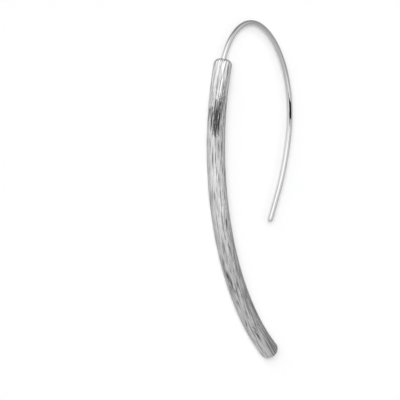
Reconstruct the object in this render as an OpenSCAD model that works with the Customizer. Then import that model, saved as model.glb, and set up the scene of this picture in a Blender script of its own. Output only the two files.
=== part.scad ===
// Bar earring: a curved bar of closed silver tube on a long ear wire.
//
// It lies on its side, as it would on a table. Z is up, out of the plane that the earring is
// bent in. X runs from the bar to the wire's far limb, and Y to the top of the wire's arch.
// The origin is under the middle of the earring, on the surface that it lies on.
// All sizes are in millimetres, and all angles in degrees.

/* [Bar] */
// Outer diameter of the tube
bar_d = 3; // [2.4:0.1:4]
// Thickness of the tube's wall
bar_wall = 0.4; // [0.25:0.05:0.6]
// Radius that the bar is bent to, at its centre line
bar_bend_r = 38.7; // [32:0.1:50]
// Angle that the bend runs up from the bar's outermost point
bar_rise = 19.5; // [12:0.5:26]
// Angle that the bend runs down from the bar's outermost point
bar_drop = 58.5; // [40:0.5:70]
// Length of the straight solid end that closes the tube at each end
bar_end_l = 1.5; // [1.2:0.1:3]
// Radius of the rounded edge of each end
bar_edge_r = 0.8; // [0.3:0.1:1.1]

/* [Ear wire] */
// Diameter of the wire
wire_d = 0.8; // [0.7:0.05:1]
// Clearance all round the wire in its hole in the bar
wire_gap = 0.03; // [0.02:0.01:0.05]
// Radius of the small bend where the wire leaves the bar
exit_r = 4; // [3:0.5:8]
// Angle of that bend
exit_turn = 10.5; // [4:0.5:15]
// Radius of the arch that sits in the ear
arch_r = 11.2; // [9:0.1:14]
// Angle of the arch
arch_turn = 77; // [70:0.5:85]
// Radius of the bend at the back of the ear
back_r = 15.1; // [12:0.1:18]
// Angle of the bend at the back
back_turn = 86.5; // [80:0.5:92]
// Radius of the slight bend below it
tail_r = 34; // [25:0.5:45]
// Angle of the slight bend
tail_turn = 18.5; // [10:0.5:25]
// Length of the straight tip
tip_l = 5; // [4:0.5:8]
// Radius of the rounded edge of the tip
tip_edge_r = 0.35; // [0.15:0.05:0.35]

/* [Hidden] */
$fn = 96;

// The wire's bends in order from the bar, each with its radius and its angle
BENDS = [
    [exit_r, exit_turn],
    [arch_r, arch_turn],
    [back_r, back_turn],
    [tail_r, tail_turn],
];
function radius(i) = BENDS[i].x;
function turn(i) = BENDS[i].y;
function last_bend() = len(BENDS) - 1;

// Share of a bend that is drawn again with a straight end, so that the two are joined for certain
LAP = 0.3;

// A direction in the earring's plane, and a point of the bar's centre line.
// The plane's own zero is the centre of the bar's bend.
function along(heading) = [cos(heading), sin(heading)];
function bar_point(angle) = bar_bend_r * along(angle);

// Where the bar's bend ends, as angles about its centre, and which way each end faces
bar_turn = bar_rise + bar_drop;
top_angle = 180 - bar_rise;
low_angle = 180 + bar_drop;
top_heading = top_angle - 90;
low_heading = low_angle + 90;

// The wire turns clockwise from the middle of the bar's upper end. These give the heading and the
// place where bend i starts, and the direction and the place of its centre from there.
wire_exit = bar_point(top_angle) + bar_end_l * along(top_heading);
function heading(i) = i == 0 ? top_heading : heading(i - 1) - turn(i - 1);
function inward(i) = along(heading(i) - 90);
function place(i) =
    i == 0 ? wire_exit : place(i - 1) + radius(i - 1) * (inward(i - 1) - inward(i));
function bend_centre(i) = place(i) + radius(i) * inward(i);
arch_centre = bend_centre(1);
back_centre = bend_centre(2);
tail_centre = bend_centre(last_bend());
tip_heading = heading(last_bend() + 1);

// The box round the earring in its plane, whose middle is over the origin
low_rim = bar_point(low_angle) + (bar_end_l - bar_edge_r) * along(low_heading);
low_reach = (bar_d / 2 - bar_edge_r) * abs(cos(low_heading)) + bar_edge_r;
x_min = -bar_bend_r - bar_d / 2;
x_max = back_centre.x + back_r + wire_d / 2;
y_min = low_rim.y - low_reach;
y_max = arch_centre.y + arch_r + wire_d / 2;
middle = [(x_min + x_max) / 2, (y_min + y_max) / 2];

// Stands its children in the earring's plane, half a bar above the surface.
module in_plane() translate([-middle.x, -middle.y, bar_d / 2]) children();

// Moves its children to a point of the plane, in a coarse step and a fine one, so that no digit of
// the place is lost and ends that touch meet.
module at(point) {
    coarse = [for (x = point) round(100 * x) / 100];
    translate(coarse) translate(point - coarse) children();
}

// A round rod along Z with a rounded edge at its far end.
module rounded_rod(d, l, edge_r) rotate_extrude() {
    square([d / 2, l - edge_r]);
    square([d / 2 - edge_r, l]);
    intersection() {
        translate([d / 2 - edge_r, l - edge_r]) circle(r = edge_r);
        square([d / 2, l]);
    }
}

// A round rod bent about the plane's zero, anticlockwise from an angle.
module bent_rod(d, r, from, turn)
    rotate_extrude(start = from, angle = turn) translate([r, 0]) circle(d = d);

// Its children as a straight end of a bent rod. They lead off along their Z axis from the given
// angle of the bend, anticlockwise where way is 1 and clockwise where it is -1.
module straight_end(d, r, angle, turn, way) rotate(angle) {
    translate([r, 0]) rotate([-90 * way, 0, 0]) children();
    bent_rod(d, r, way == 1 ? -LAP * turn : 0, LAP * turn);
}

// One of the bar's two straight ends.
module bar_end(angle, way)
    straight_end(bar_d, bar_bend_r, angle, bar_turn, way) rounded_rod(bar_d, bar_end_l, bar_edge_r);

// The hole for the wire, through the bar's upper end into the hollow.
module wire_hole() {
    past = bar_wall;
    rotate(top_angle) translate([bar_bend_r, past]) rotate([90, 0, 0])
        cylinder(d = wire_d + 2 * wire_gap, h = bar_end_l + 2 * past);
}

// The tube with its two closed ends.
module bar() color("silver") in_plane() difference() {
    union() {
        bent_rod(bar_d, bar_bend_r, top_angle, bar_turn);
        bar_end(top_angle, -1);
        bar_end(low_angle, 1);
    }
    bent_rod(bar_d - 2 * bar_wall, bar_bend_r, top_angle, bar_turn);
    wire_hole();
}

// The wire, from the peg in the bar's end, round its bends, to the free tip.
module ear_wire() color("gainsboro") in_plane() {
    at(bend_centre(0))
        straight_end(wire_d, exit_r, heading(0) + 90, exit_turn, 1) cylinder(d = wire_d, h = bar_end_l);
    for (i = [0 : last_bend()])
        at(bend_centre(i)) bent_rod(wire_d, radius(i), heading(i + 1) + 90, turn(i));
    at(tail_centre)
        straight_end(wire_d, tail_r, tip_heading + 90, tail_turn, -1)
            rounded_rod(wire_d, tip_l, tip_edge_r);
}

bar();
ear_wire();
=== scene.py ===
"""Dresses the bar earring: a brushed silver bar, closed at both ends, on a polished silver wire.

The earring lies on its side on a plain pale floor, as it would on a table, and the camera looks
at it from the photograph's angle. The two pieces are drawn from the same sizes as the frame's.
Sizes are in millimetres and angles in degrees, and each mesh is turned to metres as it is made.
"""

import logging
import math
from dataclasses import dataclass, field
from enum import Enum
from typing import Any, Iterable

import bmesh
import bpy
import numpy as np
from mathutils import Matrix, Vector


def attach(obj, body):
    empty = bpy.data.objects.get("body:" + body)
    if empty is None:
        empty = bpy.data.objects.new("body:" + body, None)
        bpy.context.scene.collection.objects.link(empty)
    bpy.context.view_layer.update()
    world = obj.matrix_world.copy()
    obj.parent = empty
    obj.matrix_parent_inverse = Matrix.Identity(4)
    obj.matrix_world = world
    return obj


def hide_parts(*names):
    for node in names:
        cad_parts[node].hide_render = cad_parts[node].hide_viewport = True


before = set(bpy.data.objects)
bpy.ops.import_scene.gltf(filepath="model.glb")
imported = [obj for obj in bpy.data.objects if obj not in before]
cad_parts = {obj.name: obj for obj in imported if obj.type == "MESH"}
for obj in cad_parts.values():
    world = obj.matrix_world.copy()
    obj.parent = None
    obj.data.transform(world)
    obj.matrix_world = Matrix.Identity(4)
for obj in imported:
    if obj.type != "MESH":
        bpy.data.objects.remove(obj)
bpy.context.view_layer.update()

LOG = logging.getLogger("bar_earring")
MM = 0.001
BODY = "root"

# Names of what the meshes carry for their materials to read
LAID_STRAIGHT = "laid_straight"
WEAR_AND_SHADE = "wear"
MARK_WIDTH = "mark_width"
RING_RADIUS = "ring_radius"
AROUND_AND_ALONG = "around_and_along"

# The wire's bends that sit in the ear and behind it, counted from the bar
ARCH, BACK = 1, 2


class Slot(Enum):
    """The record's material slots."""

    BRUSHED = "brushed_silver"
    POLISHED = "polished_silver"


class Rod(Enum):
    """The round rods that mirror a card, by how a place along each is given."""

    BAR = "length from the bar's upper end"
    WIRE = "angle from the start of the wire's bend behind the ear"


def linear(srgb: str) -> tuple[float, float, float, float]:
    """Turns an sRGB hex colour to the linear colour that a shader's socket takes.

    Args:
        srgb: The colour, such as "#E6E6E8".

    Returns:
        Red, green, blue and an alpha of 1.
    """
    parts = [int(srgb[i:i + 2], 16) / 255 for i in (1, 3, 5)]
    red, green, blue = (c / 12.92 if c <= 0.04045 else ((c + 0.055) / 1.055) ** 2.4 for c in parts)
    return (red, green, blue, 1.0)


def add_node(tree: bpy.types.NodeTree, kind: str, inputs: dict[Any, Any] | None = None,
             **settings: Any) -> bpy.types.Node:
    """Adds a node to a tree, with its settings and links.

    Args:
        tree: The node tree.
        kind: The node's type, such as "ShaderNodeTexNoise".
        inputs: For an input's name or number, the socket that feeds it or the value it holds.
        **settings: The node's own properties.

    Returns:
        The new node.
    """
    node = tree.nodes.new(kind)
    for name, value in settings.items():
        setattr(node, name, value)
    for key, value in (inputs or {}).items():
        if isinstance(value, bpy.types.NodeSocket):
            tree.links.new(value, node.inputs[key])
        else:
            node.inputs[key].default_value = value
    return node


def along(heading: float) -> np.ndarray:
    """Gives the direction of a heading in the earring's plane."""
    return np.array([math.cos(math.radians(heading)), math.sin(math.radians(heading))])


@dataclass(frozen=True)
class Bend:
    """One bend of the wire.

    Attributes:
        radius: Radius of its centre line.
        turn: Angle that it turns clockwise.
    """

    radius: float
    turn: float


@dataclass(frozen=True)
class Layout:
    """Where the bar and the wire run, from the sizes that drive both.

    The plane's own zero is the centre of the bar's bend, as in the part's source.

    Attributes:
        bar_d: Outer diameter of the bar.
        bar_wall: Thickness of its wall.
        bar_bend_r: Radius that its centre line is bent to.
        bar_rise: Angle that the bend runs up from the bar's outermost point.
        bar_drop: Angle that it runs down from there.
        bar_end_l: Length of the straight solid end that closes the tube at each end.
        bar_edge_r: Radius of the rounded edge of each end.
        wire_d: Diameter of the wire.
        wire_gap: Clearance all round the wire in its hole.
        bends: The wire's bends in order from the bar.
        tip_l: Length of its straight tip.
        tip_edge_r: Radius of the tip's rounded edge.
    """

    bar_d: float = 3.0
    bar_wall: float = 0.4
    bar_bend_r: float = 38.7
    bar_rise: float = 19.5
    bar_drop: float = 58.5
    bar_end_l: float = 1.5
    bar_edge_r: float = 0.8
    wire_d: float = 0.8
    wire_gap: float = 0.03
    bends: tuple[Bend, ...] = (Bend(4, 10.5), Bend(11.2, 77), Bend(15.1, 86.5), Bend(34, 18.5))
    tip_l: float = 5.0
    tip_edge_r: float = 0.35

    @property
    def bar_length(self) -> float:
        """Length of the bar's centre line, its two straight ends included."""
        return 2 * self.bar_end_l + self.bar_bend_r * math.radians(self.bar_rise + self.bar_drop)

    def bar_point(self, angle: float) -> np.ndarray:
        """Gives the bar's centre line at an angle about the centre of its bend."""
        return self.bar_bend_r * along(angle)

    def wire_exit(self) -> np.ndarray:
        """Gives the place where the wire leaves the bar."""
        angle = 180 - self.bar_rise
        return self.bar_point(angle) + self.bar_end_l * along(angle - 90)

    def heading(self, i: int) -> float:
        """Gives the heading where bend i of the wire starts."""
        return 90 - self.bar_rise - sum(bend.turn for bend in self.bends[:i])

    def place(self, i: int) -> np.ndarray:
        """Follows the wire to where one of its bends starts.

        Args:
            i: The bend, or the number of bends for the end of the last one.

        Returns:
            The place in the plane.
        """
        point = self.wire_exit()
        for k, bend in enumerate(self.bends[:i]):
            point = point + bend.radius * (self.inward(k) - self.inward(k + 1))
        return point

    def inward(self, i: int) -> np.ndarray:
        """Gives the direction from the start of bend i to its centre."""
        return along(self.heading(i) - 90)

    def bend_centre(self, i: int) -> np.ndarray:
        """Gives the centre of bend i of the wire."""
        return self.place(i) + self.bends[i].radius * self.inward(i)

    def middle(self) -> np.ndarray:
        """Finds the middle of the box round the earring, which lies over the frame's origin.

        Returns:
            The place in the plane.
        """
        low_heading = 270 + self.bar_drop
        low_rim = (self.bar_point(180 + self.bar_drop)
                   + (self.bar_end_l - self.bar_edge_r) * along(low_heading))
        low_reach = ((self.bar_d / 2 - self.bar_edge_r) * abs(math.cos(math.radians(low_heading)))
                     + self.bar_edge_r)
        x_min = -self.bar_bend_r - self.bar_d / 2
        x_max = self.bend_centre(BACK)[0] + self.bends[BACK].radius + self.wire_d / 2
        y_min = low_rim[1] - low_reach
        y_max = self.bend_centre(ARCH)[1] + self.bends[ARCH].radius + self.wire_d / 2
        return np.array([(x_min + x_max) / 2, (y_min + y_max) / 2])

    def lay(self, point: np.ndarray) -> np.ndarray:
        """Stands a point of the plane in the frame, half a bar above the floor."""
        x, y = point - self.middle()
        return np.array([x, y, self.bar_d / 2])

    def bar_station(self, s: float) -> tuple[np.ndarray, np.ndarray]:
        """Follows the bar's centre line from the face of its upper end.

        Args:
            s: Length along the line.

        Returns:
            The place in the frame, and the direction from it to the outside of the bend.
        """
        bent = self.bar_length - 2 * self.bar_end_l
        in_bend = min(max(s - self.bar_end_l, 0), bent)
        angle = 180 - self.bar_rise + math.degrees(in_bend / self.bar_bend_r)
        past_bend = s - self.bar_end_l - in_bend
        point = self.lay(self.bar_point(angle) + past_bend * along(angle + 90))
        return point, np.append(along(angle), 0.0)

    def back_station(self, turned: float) -> tuple[np.ndarray, np.ndarray]:
        """Follows the wire's centre line round the bend behind the ear.

        Args:
            turned: Angle from the start of the bend.

        Returns:
            The place in the frame, and the direction from it to the outside of the bend.
        """
        spoke = along(self.heading(BACK) + 90 - turned)
        point = self.lay(self.bend_centre(BACK) + self.bends[BACK].radius * spoke)
        return point, np.append(spoke, 0.0)

    def mirrored(self, rod: Rod, place: float, degrees: float,
                 view: np.ndarray) -> tuple[np.ndarray, np.ndarray]:
        """Works out what a camera sees in one place of a bright rod, which is a round mirror.

        Args:
            rod: The bar or the wire.
            place: How far along it the place is.
            degrees: Its angle round the rod from the outside of the bend towards up.
            view: Direction to the camera.

        Returns:
            The place on the rod's skin, and the direction that is seen mirrored there.
        """
        if rod is Rod.BAR:
            (centre, outside), radius = self.bar_station(place), self.bar_d / 2
        else:
            (centre, outside), radius = self.back_station(place), self.wire_d / 2
        angle = math.radians(degrees)
        normal = math.cos(angle) * outside + math.sin(angle) * np.array([0.0, 0.0, 1.0])
        return centre + radius * normal, 2 * (normal @ view) * normal - view


def as_mesh(name: str, points: np.ndarray, faces: list[tuple[int, ...]]) -> bpy.types.Object:
    """Makes an object from points in millimetres.

    Args:
        name: The object's name.
        points: One row for each point.
        faces: The points of each face.

    Returns:
        The object, linked to the scene, at the origin.
    """
    mesh = bpy.data.meshes.new(name)
    mesh.from_pydata((points * MM).tolist(), [], faces)
    mesh.update()
    piece = bpy.data.objects.new(name, mesh)
    bpy.context.scene.collection.objects.link(piece)
    return piece


def settle(piece: bpy.types.Object, modifier: bpy.types.Modifier) -> bpy.types.Object:
    """Turns what a Geometry Nodes modifier makes of a piece into a plain mesh.

    Args:
        piece: The object that carries the modifier.
        modifier: The modifier, with its inputs set.

    Returns:
        The object, with the new mesh and without the modifier.
    """
    graph = bpy.context.evaluated_depsgraph_get()
    made = bpy.data.meshes.new_from_object(piece.evaluated_get(graph), depsgraph=graph)
    made.name = piece.name
    piece.modifiers.remove(modifier)
    piece.data = made
    return piece


def new_tree(name: str, sizes: dict[str, str]) -> tuple[bpy.types.NodeTree, bpy.types.Node]:
    """Starts a Geometry Nodes tree with a geometry socket at each end and named inputs.

    Args:
        name: The tree's name.
        sizes: For each further input's name, its socket type.

    Returns:
        The tree and its Group Input node.
    """
    tree = bpy.data.node_groups.new(name, "GeometryNodeTree")
    tree.interface.new_socket("Geometry", in_out="INPUT", socket_type="NodeSocketGeometry")
    tree.interface.new_socket("Geometry", in_out="OUTPUT", socket_type="NodeSocketGeometry")
    for label, kind in sizes.items():
        tree.interface.new_socket(label, in_out="INPUT", socket_type=kind)
    return tree, tree.nodes.new("NodeGroupInput")


def finish_tree(tree: bpy.types.NodeTree, geometry: bpy.types.NodeSocket,
                material: bpy.types.NodeSocket) -> None:
    """Ends a tree in Realize Instances and Set Material.

    Args:
        tree: The tree.
        geometry: The socket that holds the shape.
        material: The socket that holds its material.
    """
    real = add_node(tree, "GeometryNodeRealizeInstances", {0: geometry})
    dressed = add_node(tree, "GeometryNodeSetMaterial",
                       {"Geometry": real.outputs[0], "Material": material})
    add_node(tree, "NodeGroupOutput", {0: dressed.outputs[0]})


def give(piece: bpy.types.Object, tree: bpy.types.NodeTree,
         values: dict[str, Any]) -> bpy.types.Modifier:
    """Puts a tree on a piece and sets its inputs by their identifiers.

    Args:
        piece: The object.
        tree: The Geometry Nodes tree.
        values: For each input's name, its value.

    Returns:
        The modifier.
    """
    modifier = piece.modifiers.new(tree.name, "NODES")
    modifier.node_group = tree
    for item in tree.interface.items_tree:
        if item.in_out == "INPUT" and item.name in values:
            modifier[item.identifier] = values[item.name]
    return modifier


def grain(tree: bpy.types.NodeTree, laid: bpy.types.NodeSocket, across: float, length: float,
          detail: float) -> bpy.types.NodeSocket:
    """Adds a noise that is stretched along a tube.

    Args:
        tree: The material's tree.
        laid: The place on the tube laid straight, in metres.
        across: The grain's width.
        length: The grain's length.
        detail: Octaves of finer noise.

    Returns:
        The noise, from 0 to 1.
    """
    scale = (1 / (across * MM), 1 / (across * MM), 1 / (length * MM))
    stretched = add_node(tree, "ShaderNodeVectorMath", {0: laid, 1: scale}, operation="MULTIPLY")
    return add_node(tree, "ShaderNodeTexNoise", {"Vector": stretched.outputs[0], "Scale": 1.0,
                                                 "Detail": detail}).outputs["Fac"]


@dataclass(frozen=True)
class BrushedSilver:
    """Silver tube, drawn through a die and brushed along its length by hand.

    The brush lines run along the tube, so what it reflects spreads round it in soft streaks and
    stays sharper along it. The hand work leaves it a little uneven, and its marks are grooves
    with painted shade inside.
    Real brush lines are some 0.05 mm apart, too fine for the picture. The lines are drawn about
    four times as coarse, and the painted shade in them about two and a half times, so that they show.
    The finest lines are painted shade: the colour darkens in them in place of their dimmer reflection.

    Attributes:
        colour: The bare metal.
        shade_in_lines: Painted shade, the darker colour of the finest lines, standing in for their dimmer
            reflection.
        shade_in_marks: Painted shade at the bottom of a mark.
        roughness: How blurred its reflections are.
        spread: How much further they spread round the tube than along it.
        twist: How far the lines turn round the tube, in degrees for each millimetre.
        line_spacing: Width of the brush lines, with their length, depth and octaves after it.
        shade_spacing: Width of the finest lines, which are painted shade only, with their length,
            the noise where the painted shade starts and ends, and their octaves after it.
        patch_across: Width of the uneven patches, with their length, depth and octaves after it.
        lined_outside: The lines are whole from this radius outwards, and fade over the rounded ends.
        bare_inside: Radius inside which there are none.
    """

    colour: str = "#F8F8F8"
    shade_in_lines: str = "#9C9CA0"
    shade_in_marks: str = "#2C2C2E"
    roughness: float = 0.15
    spread: float = 0.95
    twist: float = 1.8
    line_spacing: float = 0.19
    line_length: float = 6.0
    line_depth: float = 0.18
    line_detail: float = 1.0
    shade_spacing: float = 0.13
    shade_length: float = 3.0
    shade_from: float = 0.34
    shade_to: float = 0.5
    shade_detail: float = 2.0
    patch_across: float = 0.27
    patch_along: float = 1.5
    patch_depth: float = 0.12
    patch_detail: float = 2.0
    lined_outside: float = 1.4
    bare_inside: float = 0.9

    def material(self) -> bpy.types.Material:
        """Builds the material.

        Returns:
            The material, which reads the piece's own coordinates.
        """
        material = bpy.data.materials.new("brushed_silver")
        material.use_nodes = True
        tree = material.node_tree
        tree.nodes.clear()
        laid = add_node(tree, "ShaderNodeAttribute", attribute_name=LAID_STRAIGHT).outputs["Vector"]
        run = add_node(tree, "ShaderNodeSeparateXYZ", {0: laid}).outputs["Z"]
        turned = add_node(tree, "ShaderNodeMath", {0: run, 1: math.radians(self.twist) / MM},
                          operation="MULTIPLY")
        across = add_node(tree, "ShaderNodeVectorMath", {0: laid, 1: (1.0, 1.0, 0.0)},
                          operation="MULTIPLY")
        radius = add_node(tree, "ShaderNodeVectorMath", {0: across.outputs[0]}, operation="LENGTH")
        on_side = add_node(tree, "ShaderNodeMapRange", {
            "Value": radius.outputs["Value"], "From Min": self.bare_inside * MM,
            "From Max": self.lined_outside * MM}, interpolation_type="SMOOTHSTEP").outputs[0]
        laid = add_node(tree, "ShaderNodeVectorRotate", {
            "Vector": laid, "Center": (0.0, 0.0, 0.0), "Axis": (0.0, 0.0, 1.0),
            "Angle": turned.outputs[0]}, rotation_type="AXIS_ANGLE").outputs[0]
        lines = grain(tree, laid, self.line_spacing, self.line_length, self.line_detail)
        patches = grain(tree, laid, self.patch_across, self.patch_along, self.patch_detail)
        line_height = add_node(tree, "ShaderNodeMath", {0: lines, 1: self.line_depth * MM},
                               operation="MULTIPLY").outputs[0]
        height = add_node(tree, "ShaderNodeMath", {0: patches, 1: self.patch_depth * MM, 2: line_height},
                          operation="MULTIPLY_ADD").outputs[0]
        height = add_node(tree, "ShaderNodeMath", {0: height, 1: on_side}, operation="MULTIPLY")
        bump = add_node(tree, "ShaderNodeBump", {"Strength": 1.0, "Distance": 1.0,
                                                 "Height": height.outputs[0]})
        # Painted shade: the finest lines darken the colour, in place of their dimmer reflection
        shade = add_node(tree, "ShaderNodeMapRange", {
            "Value": grain(tree, laid, self.shade_spacing, self.shade_length, self.shade_detail),
            "From Min": self.shade_from, "From Max": self.shade_to, "To Min": on_side, "To Max": 0.0},
            interpolation_type="SMOOTHSTEP")
        colour_with_line_shade = add_node(tree, "ShaderNodeMix", {
            "Factor": shade.outputs[0], "A": linear(self.colour), "B": linear(self.shade_in_lines)},
            data_type="RGBA")
        # Painted shade: the marks' grooves are darkened in the colour
        wear = add_node(tree, "ShaderNodeAttribute", attribute_name=WEAR_AND_SHADE).outputs["Fac"]
        colour = add_node(tree, "ShaderNodeMix", {
            "Factor": wear, "A": colour_with_line_shade.outputs["Result"], "B": linear(self.shade_in_marks)}, data_type="RGBA")
        tangent = add_node(tree, "ShaderNodeTangent", direction_type="UV_MAP", uv_map=AROUND_AND_ALONG)
        shader = add_node(tree, "ShaderNodeBsdfPrincipled", {
            "Base Color": colour.outputs["Result"], "Metallic": 1.0, "Roughness": self.roughness,
            "Anisotropic": self.spread, "Normal": bump.outputs[0], "Tangent": tangent.outputs[0]})
        add_node(tree, "ShaderNodeOutputMaterial", {"Surface": shader.outputs[0]})
        return material


@dataclass(frozen=True)
class PolishedSilver:
    """Silver wire, drawn and then polished bright.

    It reflects sharply, in thin bright and dark lines along the wire, with a faint waver.

    Attributes:
        colour: The metal.
        roughness: How blurred its reflections are.
        waver_across: Width of the waver, with its length, depth and octaves after it.
    """

    colour: str = "#EFEFF0"
    roughness: float = 0.07
    waver_across: float = 0.5
    waver_along: float = 5.0
    waver_depth: float = 0.0012
    waver_detail: float = 1.0

    def material(self) -> bpy.types.Material:
        """Builds the material.

        Returns:
            The material, which reads the piece's own coordinates.
        """
        material = bpy.data.materials.new("polished_silver")
        material.use_nodes = True
        tree = material.node_tree
        tree.nodes.clear()
        laid = add_node(tree, "ShaderNodeAttribute", attribute_name=LAID_STRAIGHT).outputs["Vector"]
        waver = grain(tree, laid, self.waver_across, self.waver_along, self.waver_detail)
        bump = add_node(tree, "ShaderNodeBump", {"Strength": 1.0, "Distance": self.waver_depth * MM,
                                                 "Height": waver})
        shader = add_node(tree, "ShaderNodeBsdfPrincipled", {
            "Base Color": linear(self.colour), "Metallic": 1.0, "Roughness": self.roughness,
            "Normal": bump.outputs[0]})
        add_node(tree, "ShaderNodeOutputMaterial", {"Surface": shader.outputs[0]})
        return material


@dataclass(frozen=True)
class PaleFloor:
    """Matt white board, which shows nothing but the earring's shadow."""

    colour: str = "#F4F4F4"
    roughness: float = 0.9

    def material(self) -> bpy.types.Material:
        """Builds the material.

        Returns:
            The material, the same all over the board.
        """
        material = bpy.data.materials.new("matt_white_board")
        material.use_nodes = True
        shader = material.node_tree.nodes["Principled BSDF"]
        shader.inputs["Base Color"].default_value = linear(self.colour)
        shader.inputs["Roughness"].default_value = self.roughness
        shader.inputs["Specular IOR Level"].default_value = 0.0
        return material


@dataclass(frozen=True)
class Mark:
    """A scratch, a rub or a dent in the bar, as a shallow groove that fades at its ends, darkened with
    painted shade.

    Attributes:
        name: What it looks like.
        width: Half the width of the groove.
        path: Its points, each the length from the upper end, the angle round the bar from the
            outside of the bend towards up, and how deep its groove and how dark its painted shade
            are there, from 0 to 1.
    """

    name: str
    width: float
    path: tuple[tuple[float, float, float], ...]


# The dark colour in the marks is painted shade. The marks in and beside the dark stretch, where the bar
# mirrors the dark card, also paint the broken streaks of that reflection.
MARKS = (
    Mark("line by the upper end", 0.17, ((0.9, 65, 0.2), (1.5, 68, 0.8), (2.4, 69, 0.4), (3.6, 66, 0.0))),
    Mark("line above the dark stretch", 0.15, ((2.9, 51, 0.0), (4.3, 52, 0.5), (5.6, 49, 0.3),
                                              (7.4, 46, 0.5), (9.0, 41, 0.0))),
    Mark("thin line beside it", 0.14, ((3.4, 66, 0.0), (4.9, 62, 0.45), (7.0, 60, 0.2), (9.2, 55, 0.4),
                                       (11.0, 50, 0.0))),
    Mark("line on the bright side", 0.12, ((0.8, 14, 0.0), (2.2, 13, 0.35), (4.8, 9, 0.25), (6.8, 5, 0.0))),
    Mark("line by the outer edge", 0.14, ((1.0, -14, 0.1), (2.6, -19, 0.4), (6.0, -25, 0.3),
                                          (7.6, -26, 0.0))),
    Mark("nick on the outer side", 0.22, ((8.2, -28, 0.2), (8.7, -27, 1.0), (9.3, -27, 0.2))),
    Mark("dash beside it", 0.18, ((8.0, -6, 0.0), (8.6, -5, 0.7), (9.4, -4, 0.0))),
    Mark("scratch in the dark stretch", 0.17, ((9.6, -3, 0.0), (10.2, -4, 0.8), (11.4, -6, 0.5),
                                               (12.1, -8, 0.0))),
    Mark("scratch above it", 0.15, ((7.2, 41, 0.0), (8.0, 40, 0.8), (9.4, 37, 0.5), (9.9, 36, 0.0))),
    Mark("scratch beside it", 0.15, ((10.0, 36, 0.0), (10.8, 38, 0.85), (11.8, 35, 0.4), (12.3, 34, 0.0))),
    Mark("scratch at its lower end", 0.15, ((11.9, 17, 0.0), (12.5, 20, 0.7), (13.2, 23, 0.0))),
    Mark("hook below the dark stretch", 0.21, ((13.7, 40, 0.2), (14.5, 46, 0.75), (15.6, 45, 0.0))),
    Mark("streak on the upper side", 0.2, ((26.3, 63, 0.2), (26.8, 62, 1.0), (27.6, 57, 0.5),
                                            (28.6, 54, 0.0))),
    Mark("streak at the middle", 0.21, ((30.3, 43, 0.0), (31.2, 50, 0.8), (32.1, 55, 0.5),
                                        (34.8, 55, 0.0))),
    Mark("thin dash on the outer side", 0.15, ((32.0, -27, 0.0), (32.8, -29, 0.5), (34.8, -29, 0.0))),
    Mark("rub low on the outer side", 0.51, ((35.0, -13, 0.0), (36.1, -7, 0.9), (37.6, 0, 0.45),
                                             (38.4, 1, 0.0))),
    Mark("dash below the rub", 0.21, ((37.6, -15, 0.0), (38.4, -10, 0.8), (40.0, -8, 0.0))),
    Mark("second dash", 0.2, ((38.3, 7, 0.0), (39.1, 12, 0.75), (40.0, 14, 0.0))),
    Mark("small dash", 0.18, ((37.0, 42, 0.0), (38.0, 40, 0.5), (38.9, 39, 0.0))),
    Mark("long scratch", 0.18, ((37.5, 51, 0.0), (41.0, 54, 0.4), (44.2, 58, 0.5), (46.4, 55, 0.45),
                                (48.5, 62, 0.2), (51.5, 72, 0.5), (54.8, 65, 0.85), (56.0, 63, 0.3))),
    Mark("upper line along the edge", 0.13, ((33.5, 84, 0.0), (35.0, 86, 0.45), (38.0, 83, 0.25),
                                             (42.0, 86, 0.5), (46.0, 89, 0.3), (50.5, 94, 0.0))),
    Mark("middle line along the edge", 0.13, ((34.5, 97, 0.0), (36.5, 96, 0.45), (41.0, 95, 0.2),
                                              (44.0, 98, 0.45), (49.0, 100, 0.3), (55.0, 94, 0.5),
                                              (56.2, 92, 0.2))),
    Mark("lower line along the edge", 0.13, ((43.0, 108, 0.0), (46.0, 107, 0.4), (52.0, 106, 0.4),
                                             (55.8, 102, 0.3))),
    Mark("line beside the long scratch", 0.15, ((46.5, 73, 0.0), (50.0, 84, 0.5), (54.6, 78, 0.65),
                                               (56.0, 76, 0.1))),
    Mark("curl near the lower end", 0.15, ((46.8, 22, 0.2), (47.0, 31, 0.75), (47.6, 38, 0.6),
                                          (48.1, 33, 0.3), (47.8, 24, 0.3))),
    Mark("tail of the curl", 0.17, ((47.7, 22, 0.2), (48.7, 30, 0.65), (49.7, 36, 0.5), (51.0, 34, 0.0))),
    Mark("line past the curl", 0.15, ((45.6, 15, 0.0), (46.4, 14, 0.55), (48.2, 14, 0.55),
                                     (50.8, 17, 0.0))),
    Mark("line to the lower end", 0.17, ((49.4, 54, 0.0), (51.7, 56, 0.65), (53.4, 49, 0.5),
                                         (55.2, 47, 0.75), (56.0, 46, 0.2))),
)


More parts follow.
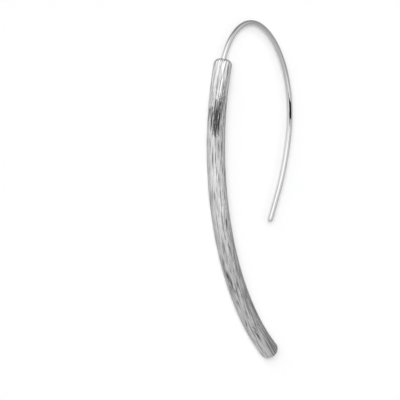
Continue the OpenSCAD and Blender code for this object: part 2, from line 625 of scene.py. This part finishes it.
@dataclass
class SilverBar:
    """The bent bar: a hollow tube with rounded ends, drilled at the top for the wire.

    Attributes:
        layout: Where it runs.
        finish: What it is dressed in.
        around: Points in each ring.
        step: Length between the rings of its skin.
        hollow_step: Length between the rings of its hollow.
        edge_steps: Rings in each rounded edge.
        groove_depth: Depth of the deepest mark.
        mark_steps: Points drawn for each point of a mark's path.
    """

    layout: Layout
    finish: BrushedSilver = field(default_factory=BrushedSilver)
    around: int = 176
    step: float = 0.12
    hollow_step: float = 2.0
    edge_steps: int = 9
    groove_depth: float = 0.02
    mark_steps: int = 8

    def profile(self) -> np.ndarray:
        """Gives the rings of the closed wall, from the far end of the hollow to the lower tip.

        Returns:
            One row for each ring: its length along the bar and its radius.
        """
        plan = self.layout
        outer, edge, end = plan.bar_d / 2, plan.bar_edge_r, plan.bar_end_l
        inner, hole = outer - plan.bar_wall, plan.wire_d / 2 + plan.wire_gap
        length = plan.bar_length
        hollow_steps = round((length - 2 * end) / self.hollow_step)
        skin_steps = round((length - 2 * edge) / self.step)
        quarter = np.radians(np.linspace(0, 90, self.edge_steps + 1))
        curve = np.stack([edge * (1 - np.cos(quarter)), outer - edge + edge * np.sin(quarter)], 1)
        hollow = [(s, inner) for s in np.linspace(length - end, end, hollow_steps + 1)]
        skin = [(s, outer) for s in np.linspace(edge, length - edge, skin_steps + 1)]
        upper_edge = [tuple(row) for row in curve[:-1]]
        lower_edge = [(length - s, r) for s, r in upper_edge[::-1]]
        return np.array([*hollow, (end, hole), (0, hole), *upper_edge, *skin, *lower_edge])

    def wall(self) -> bpy.types.Object:
        """Builds the closed wall, with its coordinates for the finish.

        Returns:
            The wall, without its marks.
        """
        rings = self.profile()
        turn = np.linspace(0, 2 * math.pi, self.around, endpoint=False)
        points = [np.append(np.zeros(2), rings[0, 0])]
        for s, radius in rings:
            points.extend(np.stack([radius * np.cos(turn), radius * np.sin(turn),
                                    np.full(self.around, s)], 1))
        points.append(np.append(np.zeros(2), rings[-1, 0]))
        straight = np.array(points)
        faces = self.faces(len(rings))
        piece = as_mesh("silver_bar", self.bend(straight), faces)
        give_coordinates(piece, straight, self.layout.bar_length)
        return piece

    def faces(self, rings: int) -> list[tuple[int, ...]]:
        """Joins the rings to each other and the first and the last to their poles.

        Args:
            rings: How many rings there are.

        Returns:
            The points of each face, facing outwards.
        """
        n = self.around
        last = rings * n + 1
        side = [(i, (i + 1) % n) for i in range(n)]
        faces: list[tuple[int, ...]] = [(0, 1 + a, 1 + b) for a, b in side]
        for ring in range(rings - 1):
            low = 1 + ring * n
            faces += [(low + a, low + n + a, low + n + b, low + b) for a, b in side]
        top = last - n
        faces += [(last, top + b, top + a) for a, b in side]
        return faces

    def bend(self, straight: np.ndarray) -> np.ndarray:
        """Bends points of the straight tube along the bar's centre line.

        Args:
            straight: Each point's offsets from the line and its length along it.

        Returns:
            The points in the frame.
        """
        stations = {s: self.layout.bar_station(s) for s in np.unique(straight[:, 2])}
        centre = np.array([stations[s][0] for s in straight[:, 2]])
        outside = np.array([stations[s][1] for s in straight[:, 2]])
        up = np.array([0.0, 0.0, 1.0])
        return centre + straight[:, :1] * outside + straight[:, 1:2] * up

    def marks(self) -> bpy.types.Object:
        """Draws the marks as lines on the bar's skin.

        Returns:
            The lines, each of whose points knows its groove's width, and its depth and painted shade.
        """
        points, edges, widths, wear = [], [], [], []
        for mark in MARKS:
            s, degrees, worn_and_shaded = np.array(mark.path).T
            share = np.linspace(0, len(s) - 1, self.mark_steps * len(s))
            s, degrees, worn_and_shaded = (np.interp(share, range(len(s)), row) for row in (s, degrees, worn_and_shaded))
            angle, radius = np.radians(degrees), self.layout.bar_d / 2
            edges += [(len(points) + i, len(points) + i + 1) for i in range(len(share) - 1)]
            points += list(np.stack([radius * np.cos(angle), radius * np.sin(angle), s], 1))
            widths += [mark.width * MM] * len(share)
            wear += list(worn_and_shaded)
            LOG.debug("mark: %s", mark.name)
        mesh = bpy.data.meshes.new("marks")
        mesh.from_pydata((self.bend(np.array(points)) * MM).tolist(), edges, [])
        mesh.attributes.new(MARK_WIDTH, "FLOAT", "POINT").data.foreach_set("value", widths)
        mesh.attributes.new(WEAR_AND_SHADE, "FLOAT", "POINT").data.foreach_set("value", wear)
        lines = bpy.data.objects.new("marks", mesh)
        bpy.context.scene.collection.objects.link(lines)
        return lines

    def groove_and_shade_tree(self) -> bpy.types.NodeTree:
        """Builds the tree that cuts the marks into the skin and notes each point's groove depth, which also
        sets its painted shade.

        Returns:
            The tree, with the marks' lines and the depth of the deepest groove as inputs.
        """
        tree, group = new_tree("cut_marks", {
            "Marks": "NodeSocketObject", "Groove depth": "NodeSocketFloat",
            "Finish": "NodeSocketMaterial"})
        lines = add_node(tree, "GeometryNodeObjectInfo", {"Object": group.outputs["Marks"]})
        lines = lines.outputs["Geometry"]
        near = add_node(tree, "GeometryNodeProximity", {0: lines}, target_element="EDGES")
        index = add_node(tree, "GeometryNodeSampleNearest", {"Geometry": lines}, domain="POINT")
        of_mark = {}
        for label in (MARK_WIDTH, WEAR_AND_SHADE):
            value = add_node(tree, "GeometryNodeInputNamedAttribute", {"Name": label}, data_type="FLOAT")
            of_mark[label] = add_node(tree, "GeometryNodeSampleIndex", {
                "Geometry": lines, "Value": value.outputs[0], "Index": index.outputs[0]},
                data_type="FLOAT", domain="POINT").outputs[0]
        groove = add_node(tree, "ShaderNodeMapRange", {
            "Value": near.outputs["Distance"], "From Min": 0.0, "From Max": of_mark[MARK_WIDTH],
            "To Min": of_mark[WEAR_AND_SHADE], "To Max": 0.0}, interpolation_type="SMOOTHSTEP")
        depth = add_node(tree, "ShaderNodeMath", {0: groove.outputs[0], 1: group.outputs["Groove depth"]},
                         operation="MULTIPLY")
        inward = add_node(tree, "ShaderNodeMath", {0: depth.outputs[0], 1: -1.0}, operation="MULTIPLY")
        normal = add_node(tree, "GeometryNodeInputNormal")
        offset = add_node(tree, "ShaderNodeVectorMath", {0: normal.outputs[0], "Scale": inward.outputs[0]},
                          operation="SCALE")
        cut = add_node(tree, "GeometryNodeSetPosition", {"Geometry": group.outputs["Geometry"],
                                                         "Offset": offset.outputs[0]})
        noted = add_node(tree, "GeometryNodeStoreNamedAttribute", {
            "Geometry": cut.outputs[0], "Name": WEAR_AND_SHADE, "Value": groove.outputs[0]},
            data_type="FLOAT", domain="POINT")
        finish_tree(tree, noted.outputs[0], group.outputs["Finish"])
        return tree

    def build(self) -> bpy.types.Object:
        """Builds the bar and sets it in the frame in place of its node.

        Returns:
            The finished piece.
        """
        piece = self.wall()
        lines = self.marks()
        modifier = give(piece, self.groove_and_shade_tree(), {
            "Marks": lines, "Groove depth": self.groove_depth * MM,
            "Finish": self.finish.material()})
        piece = settle(piece, modifier)
        bpy.data.objects.remove(lines)
        return set_in_frame(piece, "bar")


def give_coordinates(piece: bpy.types.Object, straight: np.ndarray, length: float) -> None:
    """Gives a tube its place laid straight, in metres, and a UV map round and along it.

    Args:
        piece: The tube.
        straight: Each point's offsets from the centre line and its length along it.
        length: The tube's length.
    """
    mesh = piece.data
    laid = mesh.attributes.new(LAID_STRAIGHT, "FLOAT_VECTOR", "POINT")
    laid.data.foreach_set("vector", (straight * MM).ravel())
    corners = np.empty(len(mesh.loops), int)
    mesh.loops.foreach_get("vertex_index", corners)
    starts = np.empty(len(mesh.polygons), int)
    mesh.polygons.foreach_get("loop_start", starts)
    first = np.repeat(starts, np.diff(np.append(starts, len(corners))))
    turn = np.arctan2(straight[:, 1], straight[:, 0]) / (2 * math.pi)
    u = turn[corners]
    u -= np.round(u - turn[corners[first]])
    uv = np.stack([u, straight[corners, 2] / length], 1)
    mesh.uv_layers.new(name=AROUND_AND_ALONG).data.foreach_set("uv", uv.ravel())


def set_in_frame(piece: bpy.types.Object, node: str) -> bpy.types.Object:
    """Shades a piece smooth, sets it on its body in place of a CAD node and reports it.

    Args:
        piece: The finished mesh.
        node: The CAD node that it stands for.

    Returns:
        The piece.
    """
    for polygon in piece.data.polygons:
        polygon.use_smooth = True
    shell = bmesh.new()
    shell.from_mesh(piece.data)
    volume = shell.calc_volume(signed=True) / MM ** 3
    shell.free()
    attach(piece, BODY)
    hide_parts(node)
    LOG.info("%s: %d faces, %.1f mm3", piece.name, len(piece.data.polygons), volume)
    return piece


@dataclass
class SilverEarWire:
    """The ear wire: a peg in the bar's end, four bends and a rounded tip.

    Attributes:
        layout: Where it runs.
        finish: What it is dressed in.
        around: Points round the wire.
        step: Length between its rings.
        peg_steps: Rings in the peg.
        tip_steps: Rings in the tip's rounded edge.
    """

    layout: Layout
    finish: PolishedSilver = field(default_factory=PolishedSilver)
    around: int = 64
    step: float = 0.12
    peg_steps: int = 12
    tip_steps: int = 8

    def route(self) -> np.ndarray:
        """Follows the wire's centre line in its plane.

        Returns:
            One row for each ring: its place in the frame and its radius.
        """
        plan = self.layout
        radius, edge = plan.wire_d / 2, plan.tip_edge_r
        start = plan.wire_exit()
        peg = np.linspace(-plan.bar_end_l, 0, self.peg_steps, endpoint=False)
        rows = [(start + s * along(plan.heading(0)), radius) for s in peg]
        for i, bend in enumerate(plan.bends):
            steps = round(bend.radius * math.radians(bend.turn) / self.step)
            for turned in np.linspace(0, bend.turn, steps, endpoint=False):
                spoke = along(plan.heading(i) + 90 - turned)
                rows.append((plan.bend_centre(i) + bend.radius * spoke, radius))
        last = len(plan.bends)
        tip, way = plan.place(last), along(plan.heading(last))
        straight = np.linspace(0, plan.tip_l - edge, round(plan.tip_l / self.step), endpoint=False)
        rows += [(tip + s * way, radius) for s in straight]
        quarter = np.radians(np.linspace(0, 90, self.tip_steps + 1))
        rows += [(tip + (plan.tip_l - edge * (1 - math.sin(a))) * way,
                  radius - edge * (1 - math.cos(a))) for a in quarter]
        return np.array([[*plan.lay(point), r] for point, r in rows])

    def tube_tree(self) -> bpy.types.NodeTree:
        """Builds the tree that draws a round wire along a line.

        Returns:
            The tree, with the points round the wire and its finish as inputs.
        """
        tree, group = new_tree("draw_wire", {
            "Points round": "NodeSocketInt", "Finish": "NodeSocketMaterial"})
        curve = add_node(tree, "GeometryNodeMeshToCurve", {0: group.outputs["Geometry"]})
        length = add_node(tree, "GeometryNodeSplineParameter")
        radius = add_node(tree, "GeometryNodeInputNamedAttribute", {"Name": RING_RADIUS},
                          data_type="FLOAT")
        kept = add_node(tree, "GeometryNodeCaptureAttribute", {"Geometry": curve.outputs[0]},
                        domain="POINT")
        kept.capture_items.new("FLOAT", "Length")
        kept.capture_items.new("FLOAT", "Radius")
        tree.links.new(length.outputs["Length"], kept.inputs["Length"])
        tree.links.new(radius.outputs[0], kept.inputs["Radius"])
        ring = add_node(tree, "GeometryNodeCurvePrimitiveCircle", {
            "Resolution": group.outputs["Points round"], "Radius": 1.0})
        place = add_node(tree, "GeometryNodeInputPosition")
        spoke = add_node(tree, "GeometryNodeCaptureAttribute", {"Geometry": ring.outputs[0]},
                         domain="POINT")
        spoke.capture_items.new("VECTOR", "Spoke")
        tree.links.new(place.outputs[0], spoke.inputs["Spoke"])
        tube = add_node(tree, "GeometryNodeCurveToMesh", {
            "Curve": kept.outputs["Geometry"], "Profile Curve": spoke.outputs["Geometry"],
            "Scale": kept.outputs["Radius"], "Fill Caps": True})
        offset = add_node(tree, "ShaderNodeVectorMath", {
            0: spoke.outputs["Spoke"], "Scale": kept.outputs["Radius"]}, operation="SCALE")
        run = add_node(tree, "ShaderNodeCombineXYZ", {"Z": kept.outputs["Length"]})
        laid = add_node(tree, "ShaderNodeVectorMath", {0: offset.outputs[0], 1: run.outputs[0]},
                        operation="ADD")
        noted = add_node(tree, "GeometryNodeStoreNamedAttribute", {
            "Geometry": tube.outputs[0], "Name": LAID_STRAIGHT, "Value": laid.outputs[0]},
            data_type="FLOAT_VECTOR", domain="POINT")
        finish_tree(tree, noted.outputs[0], group.outputs["Finish"])
        return tree

    def build(self) -> bpy.types.Object:
        """Builds the wire and sets it in the frame in place of its node.

        Returns:
            The finished piece.
        """
        rings = self.route()
        mesh = bpy.data.meshes.new("silver_ear_wire")
        mesh.from_pydata((rings[:, :3] * MM).tolist(), [(i, i + 1) for i in range(len(rings) - 1)], [])
        radius = mesh.attributes.new(RING_RADIUS, "FLOAT", "POINT")
        radius.data.foreach_set("value", rings[:, 3] * MM)
        piece = bpy.data.objects.new("silver_ear_wire", mesh)
        bpy.context.scene.collection.objects.link(piece)
        modifier = give(piece, self.tube_tree(), {
            "Points round": self.around, "Finish": self.finish.material()})
        piece = settle(piece, modifier)
        return set_in_frame(piece, "ear_wire")


@dataclass(frozen=True)
class Panel:
    """A soft light panel or a darker part of the studio, as a round patch of its surroundings.

    Attributes:
        name: What it is.
        toward: Direction from the earring to its middle.
        reach: Angle from its middle to where it is half faded.
        fade: Angle over which its edge fades.
        level: How bright it is.
    """

    name: str
    toward: tuple[float, float, float]
    reach: float
    fade: float
    level: float

    def mask(self, tree: bpy.types.NodeTree, way: bpy.types.NodeSocket) -> bpy.types.NodeSocket:
        """Adds the panel's outline to the surroundings' tree.

        Args:
            tree: The tree.
            way: The direction that is looked in.

        Returns:
            1 on the panel and 0 off it.
        """
        middle = Vector(self.toward).normalized()
        facing = add_node(tree, "ShaderNodeVectorMath", {0: way, 1: middle}, operation="DOT_PRODUCT")
        outer, inner = self.reach + self.fade / 2, max(self.reach - self.fade / 2, 0)
        return add_node(tree, "ShaderNodeMapRange", {
            "Value": facing.outputs["Value"], "From Min": math.cos(math.radians(outer)),
            "From Max": math.cos(math.radians(inner))}, interpolation_type="SMOOTHSTEP",
            label=self.name).outputs[0]


@dataclass(frozen=True)
class Card:
    """A dark card close to the earring, which only the silver's reflections show.

    It stands so close that it darkens one stretch of a rod and leaves the rest bright, and it is
    cut to the outline that the rod mirrors there.

    Attributes:
        name: What it is.
        rod: The rod that mirrors it.
        middle: The place that mirrors its middle, along the rod and round it.
        distance: How far it is from there.
        edge: Places along the rod and round it, on the edge of what the photograph shows dark.
        level: How bright it is.
    """

    name: str
    rod: Rod
    middle: tuple[float, float]
    distance: float
    edge: tuple[tuple[float, float], ...]
    level: float

    def corners(self, layout: Layout, view: np.ndarray) -> np.ndarray:
        """Cuts the card's outline, by the law of the mirror.

        Args:
            layout: Where the rods run.
            view: Direction to the camera.

        Returns:
            One row for each corner, in the plane that faces the card's place on the rod.
        """
        near, way = layout.mirrored(self.rod, *self.middle, view)
        corners = []
        for place, degrees in self.edge:
            skin, ray = layout.mirrored(self.rod, place, degrees, view)
            reach = (self.distance - (skin - near) @ way) / (ray @ way)
            corners.append(skin + reach * ray)
        return np.array(corners)

    def build(self, layout: Layout, view: np.ndarray) -> bpy.types.Object:
        """Builds the card, which neither the camera nor the floor sees.

        Args:
            layout: Where the rods run.
            view: Direction to the camera.

        Returns:
            The card.
        """
        card = as_mesh(self.name, self.corners(layout, view), [tuple(range(len(self.edge)))])
        card.data.materials.append(self.material())
        card.visible_camera = False
        card.visible_diffuse = False
        card.visible_shadow = False
        return card

    def material(self) -> bpy.types.Material:
        """Builds the card's matt board, which gives off the light that it returns.

        Returns:
            The material, the same all over the card.
        """
        material = bpy.data.materials.new("matt_card")
        material.use_nodes = True
        tree = material.node_tree
        tree.nodes.clear()
        light = add_node(tree, "ShaderNodeEmission", {"Strength": self.level})
        add_node(tree, "ShaderNodeOutputMaterial", {"Surface": light.outputs[0]})
        return material


# Directions from the earring, as the camera sees it: +Y is up the picture, +X and +Z to the right.
# The directions, reaches and fades were fitted to the photograph's tones by least squares, and so
# were the levels of the back softbox and the lamp. The other levels were then changed by
# comparing renders with it.
ROOM = (
    Panel("board under the earring", (-0.51, -0.62, -0.60), 88, 55, 0.86),
    Panel("lower wall", (0.22, -0.87, -0.44), 68, 63, 0.53),
    Panel("front diffuser", (-0.59, -0.35, 0.73), 13, 29, 1.0),
    Panel("upper softbox", (-0.57, 0.77, 0.28), 33, 48, 1.2),
    Panel("back softbox", (0.36, 0.40, 0.84), 38, 22, 0.65),
    Panel("grey side", (0.69, -0.49, 0.53), 24, 29, 0.40),
    Panel("lamp by the camera", (-0.68, -0.52, 0.51), 5, 20, 0.81),
)
# The bar's edge was listed from the photograph; the wire's was searched for, to keep its reflection
CARDS = (
    Card("dark_card_before_the_bar", Rod.BAR, (9.55, 22.5), 5,
         ((8.9, -7), (10.1, -10.5), (11.5, -7.5), (12.1, 8.5), (12.9, 11.5), (12.9, 37), (11.9, 44),
          (10.2, 49.5), (8.6, 55), (6.9, 57), (5.4, 53), (5.9, 40.5), (6.9, 34), (7.5, 18.5),
          (8.6, 12)), 0.07),
    Card("dark_card_before_the_wire", Rod.WIRE, (69.6, 142.5), 4,
         ((50, 167.5), (59, 159.5), (66, 117.5), (77, 117), (76.5, 149.5)), 0.0),
)


@dataclass
class Studio:
    """The plain pale floor, the soft light and the camera.

    The camera's elevation, aim and width were fitted to the outlines in the photograph, and the
    room's level to its tones. The three lights were set by comparing renders with it.

    Attributes:
        layout: Where the earring's rods run, which two cards stand close to.
        floor_side: Side of the floor.
        room_level: How bright the surroundings are where they hold no panel.
        seen_level: How bright they are where the camera sees them past the floor.
        elevation: Angle of the camera above the floor.
        aim: Where it looks.
        width: Width of the photograph there.
        distance: How far off the long lens stands.
        sight: How far the camera sees.
        fill: Strength of the light beside the camera, with the angle that it fills and how far
            above the camera it stands in the picture after it.
        dome: Strength of the light straight above, with the angle that it fills after it.
        key: Strength of the wider light above the camera, with the same two angles after it.
    """

    layout: Layout
    floor_side: float = 6000.0
    room_level: float = 0.28
    seen_level: float = 1.0
    elevation: float = 27.41
    aim: tuple[float, float, float] = (-18.464, -1.782, 1.5)
    width: float = 65.55
    distance: float = 2700.0
    sight: float = 8100.0
    fill: float = 3.4
    fill_spread: float = 14
    fill_rise: float = 3.0
    dome: float = 1.15
    dome_spread: float = 105
    key: float = 1.7
    key_spread: float = 36
    key_rise: float = 13.0

    def toward_camera(self) -> Vector:
        """Gives the direction from the earring to the camera."""
        rise = math.radians(self.elevation)
        return Vector((-math.cos(rise), 0.0, math.sin(rise)))

    def above_camera(self, angle: float) -> Vector:
        """Gives the direction that is an angle above the camera in the picture."""
        rise = math.radians(angle)
        return self.toward_camera() * math.cos(rise) + Vector((0.0, 1.0, 0.0)) * math.sin(rise)

    def floor(self) -> bpy.types.Object:
        """Lays the floor under the earring. The silver mirrors the room's own board instead.

        Returns:
            The floor.
        """
        half = self.floor_side / 2
        corners = np.array([[-half, -half, 0], [half, -half, 0], [half, half, 0], [-half, half, 0]])
        floor = as_mesh("floor", corners, [(0, 1, 2, 3)])
        floor.data.materials.append(PaleFloor().material())
        floor.visible_glossy = False
        return floor

    def room(self) -> None:
        """Sets up the surroundings that the silver reflects."""
        world = bpy.data.worlds.new("studio")
        bpy.context.scene.world = world
        world.use_nodes = True
        tree = world.node_tree
        tree.nodes.clear()
        way = add_node(tree, "ShaderNodeTexCoord").outputs["Generated"]
        level: float | bpy.types.NodeSocket = self.room_level
        for panel in ROOM:
            level = add_node(tree, "ShaderNodeMix", {
                "Factor": panel.mask(tree, way), "A": level, "B": panel.level}).outputs["Result"]
        seen = add_node(tree, "ShaderNodeLightPath").outputs["Is Camera Ray"]
        level = add_node(tree, "ShaderNodeMix", {"Factor": seen, "A": level, "B": self.seen_level})
        light = add_node(tree, "ShaderNodeBackground", {
            "Color": linear("#FFFFFF"), "Strength": level.outputs["Result"]})
        add_node(tree, "ShaderNodeOutputWorld", {"Surface": light.outputs[0]})
        world.cycles_visibility.diffuse = False

    def sun(self, name: str, toward: Vector, strength: float, spread: float) -> None:
        """Adds a soft light from one side, which the silver doesn't mirror.

        Args:
            name: The light's name.
            toward: Direction from the earring to the light.
            strength: Its strength.
            spread: The angle that it fills.
        """
        data = bpy.data.lights.new(name, "SUN")
        data.energy = strength
        data.angle = math.radians(spread)
        light = bpy.data.objects.new(name, data)
        light.rotation_mode = "QUATERNION"
        light.rotation_quaternion = toward.to_track_quat("Z", "Y")
        light.visible_glossy = False
        bpy.context.scene.collection.objects.link(light)

    def camera(self) -> None:
        """Sets the camera at the photograph's angle, with +Y up the picture."""
        data = bpy.data.cameras.new("camera")
        data.lens = data.sensor_width * self.distance / self.width
        data.clip_end = self.sight * MM
        camera = bpy.data.objects.new("camera", data)
        back, up = self.toward_camera(), Vector((0.0, 1.0, 0.0))
        turned = Matrix([up.cross(back), up, back]).transposed().to_4x4()
        place = (Vector(self.aim) + self.distance * back) * MM
        camera.matrix_world = Matrix.Translation(place) @ turned
        bpy.context.scene.collection.objects.link(camera)
        bpy.context.scene.camera = camera

    def build(self) -> None:
        """Sets up the whole studio."""
        self.floor()
        self.room()
        for card in CARDS:
            card.build(self.layout, np.array(self.toward_camera()))
        self.sun("fill", self.above_camera(self.fill_rise), self.fill, self.fill_spread)
        self.sun("dome", Vector((0.0, 0.0, 1.0)), self.dome, self.dome_spread)
        self.sun("key", self.above_camera(self.key_rise), self.key, self.key_spread)
        self.camera()
        bpy.context.scene.view_settings.view_transform = "Standard"


def main() -> None:
    """Builds the earring piece by piece, and then its studio."""
    logging.basicConfig(level=logging.INFO, format="%(name)s: %(message)s")
    layout = Layout()
    SilverBar(layout).build()
    SilverEarWire(layout).build()
    Studio(layout).build()


if __name__ == "__main__":
    main()
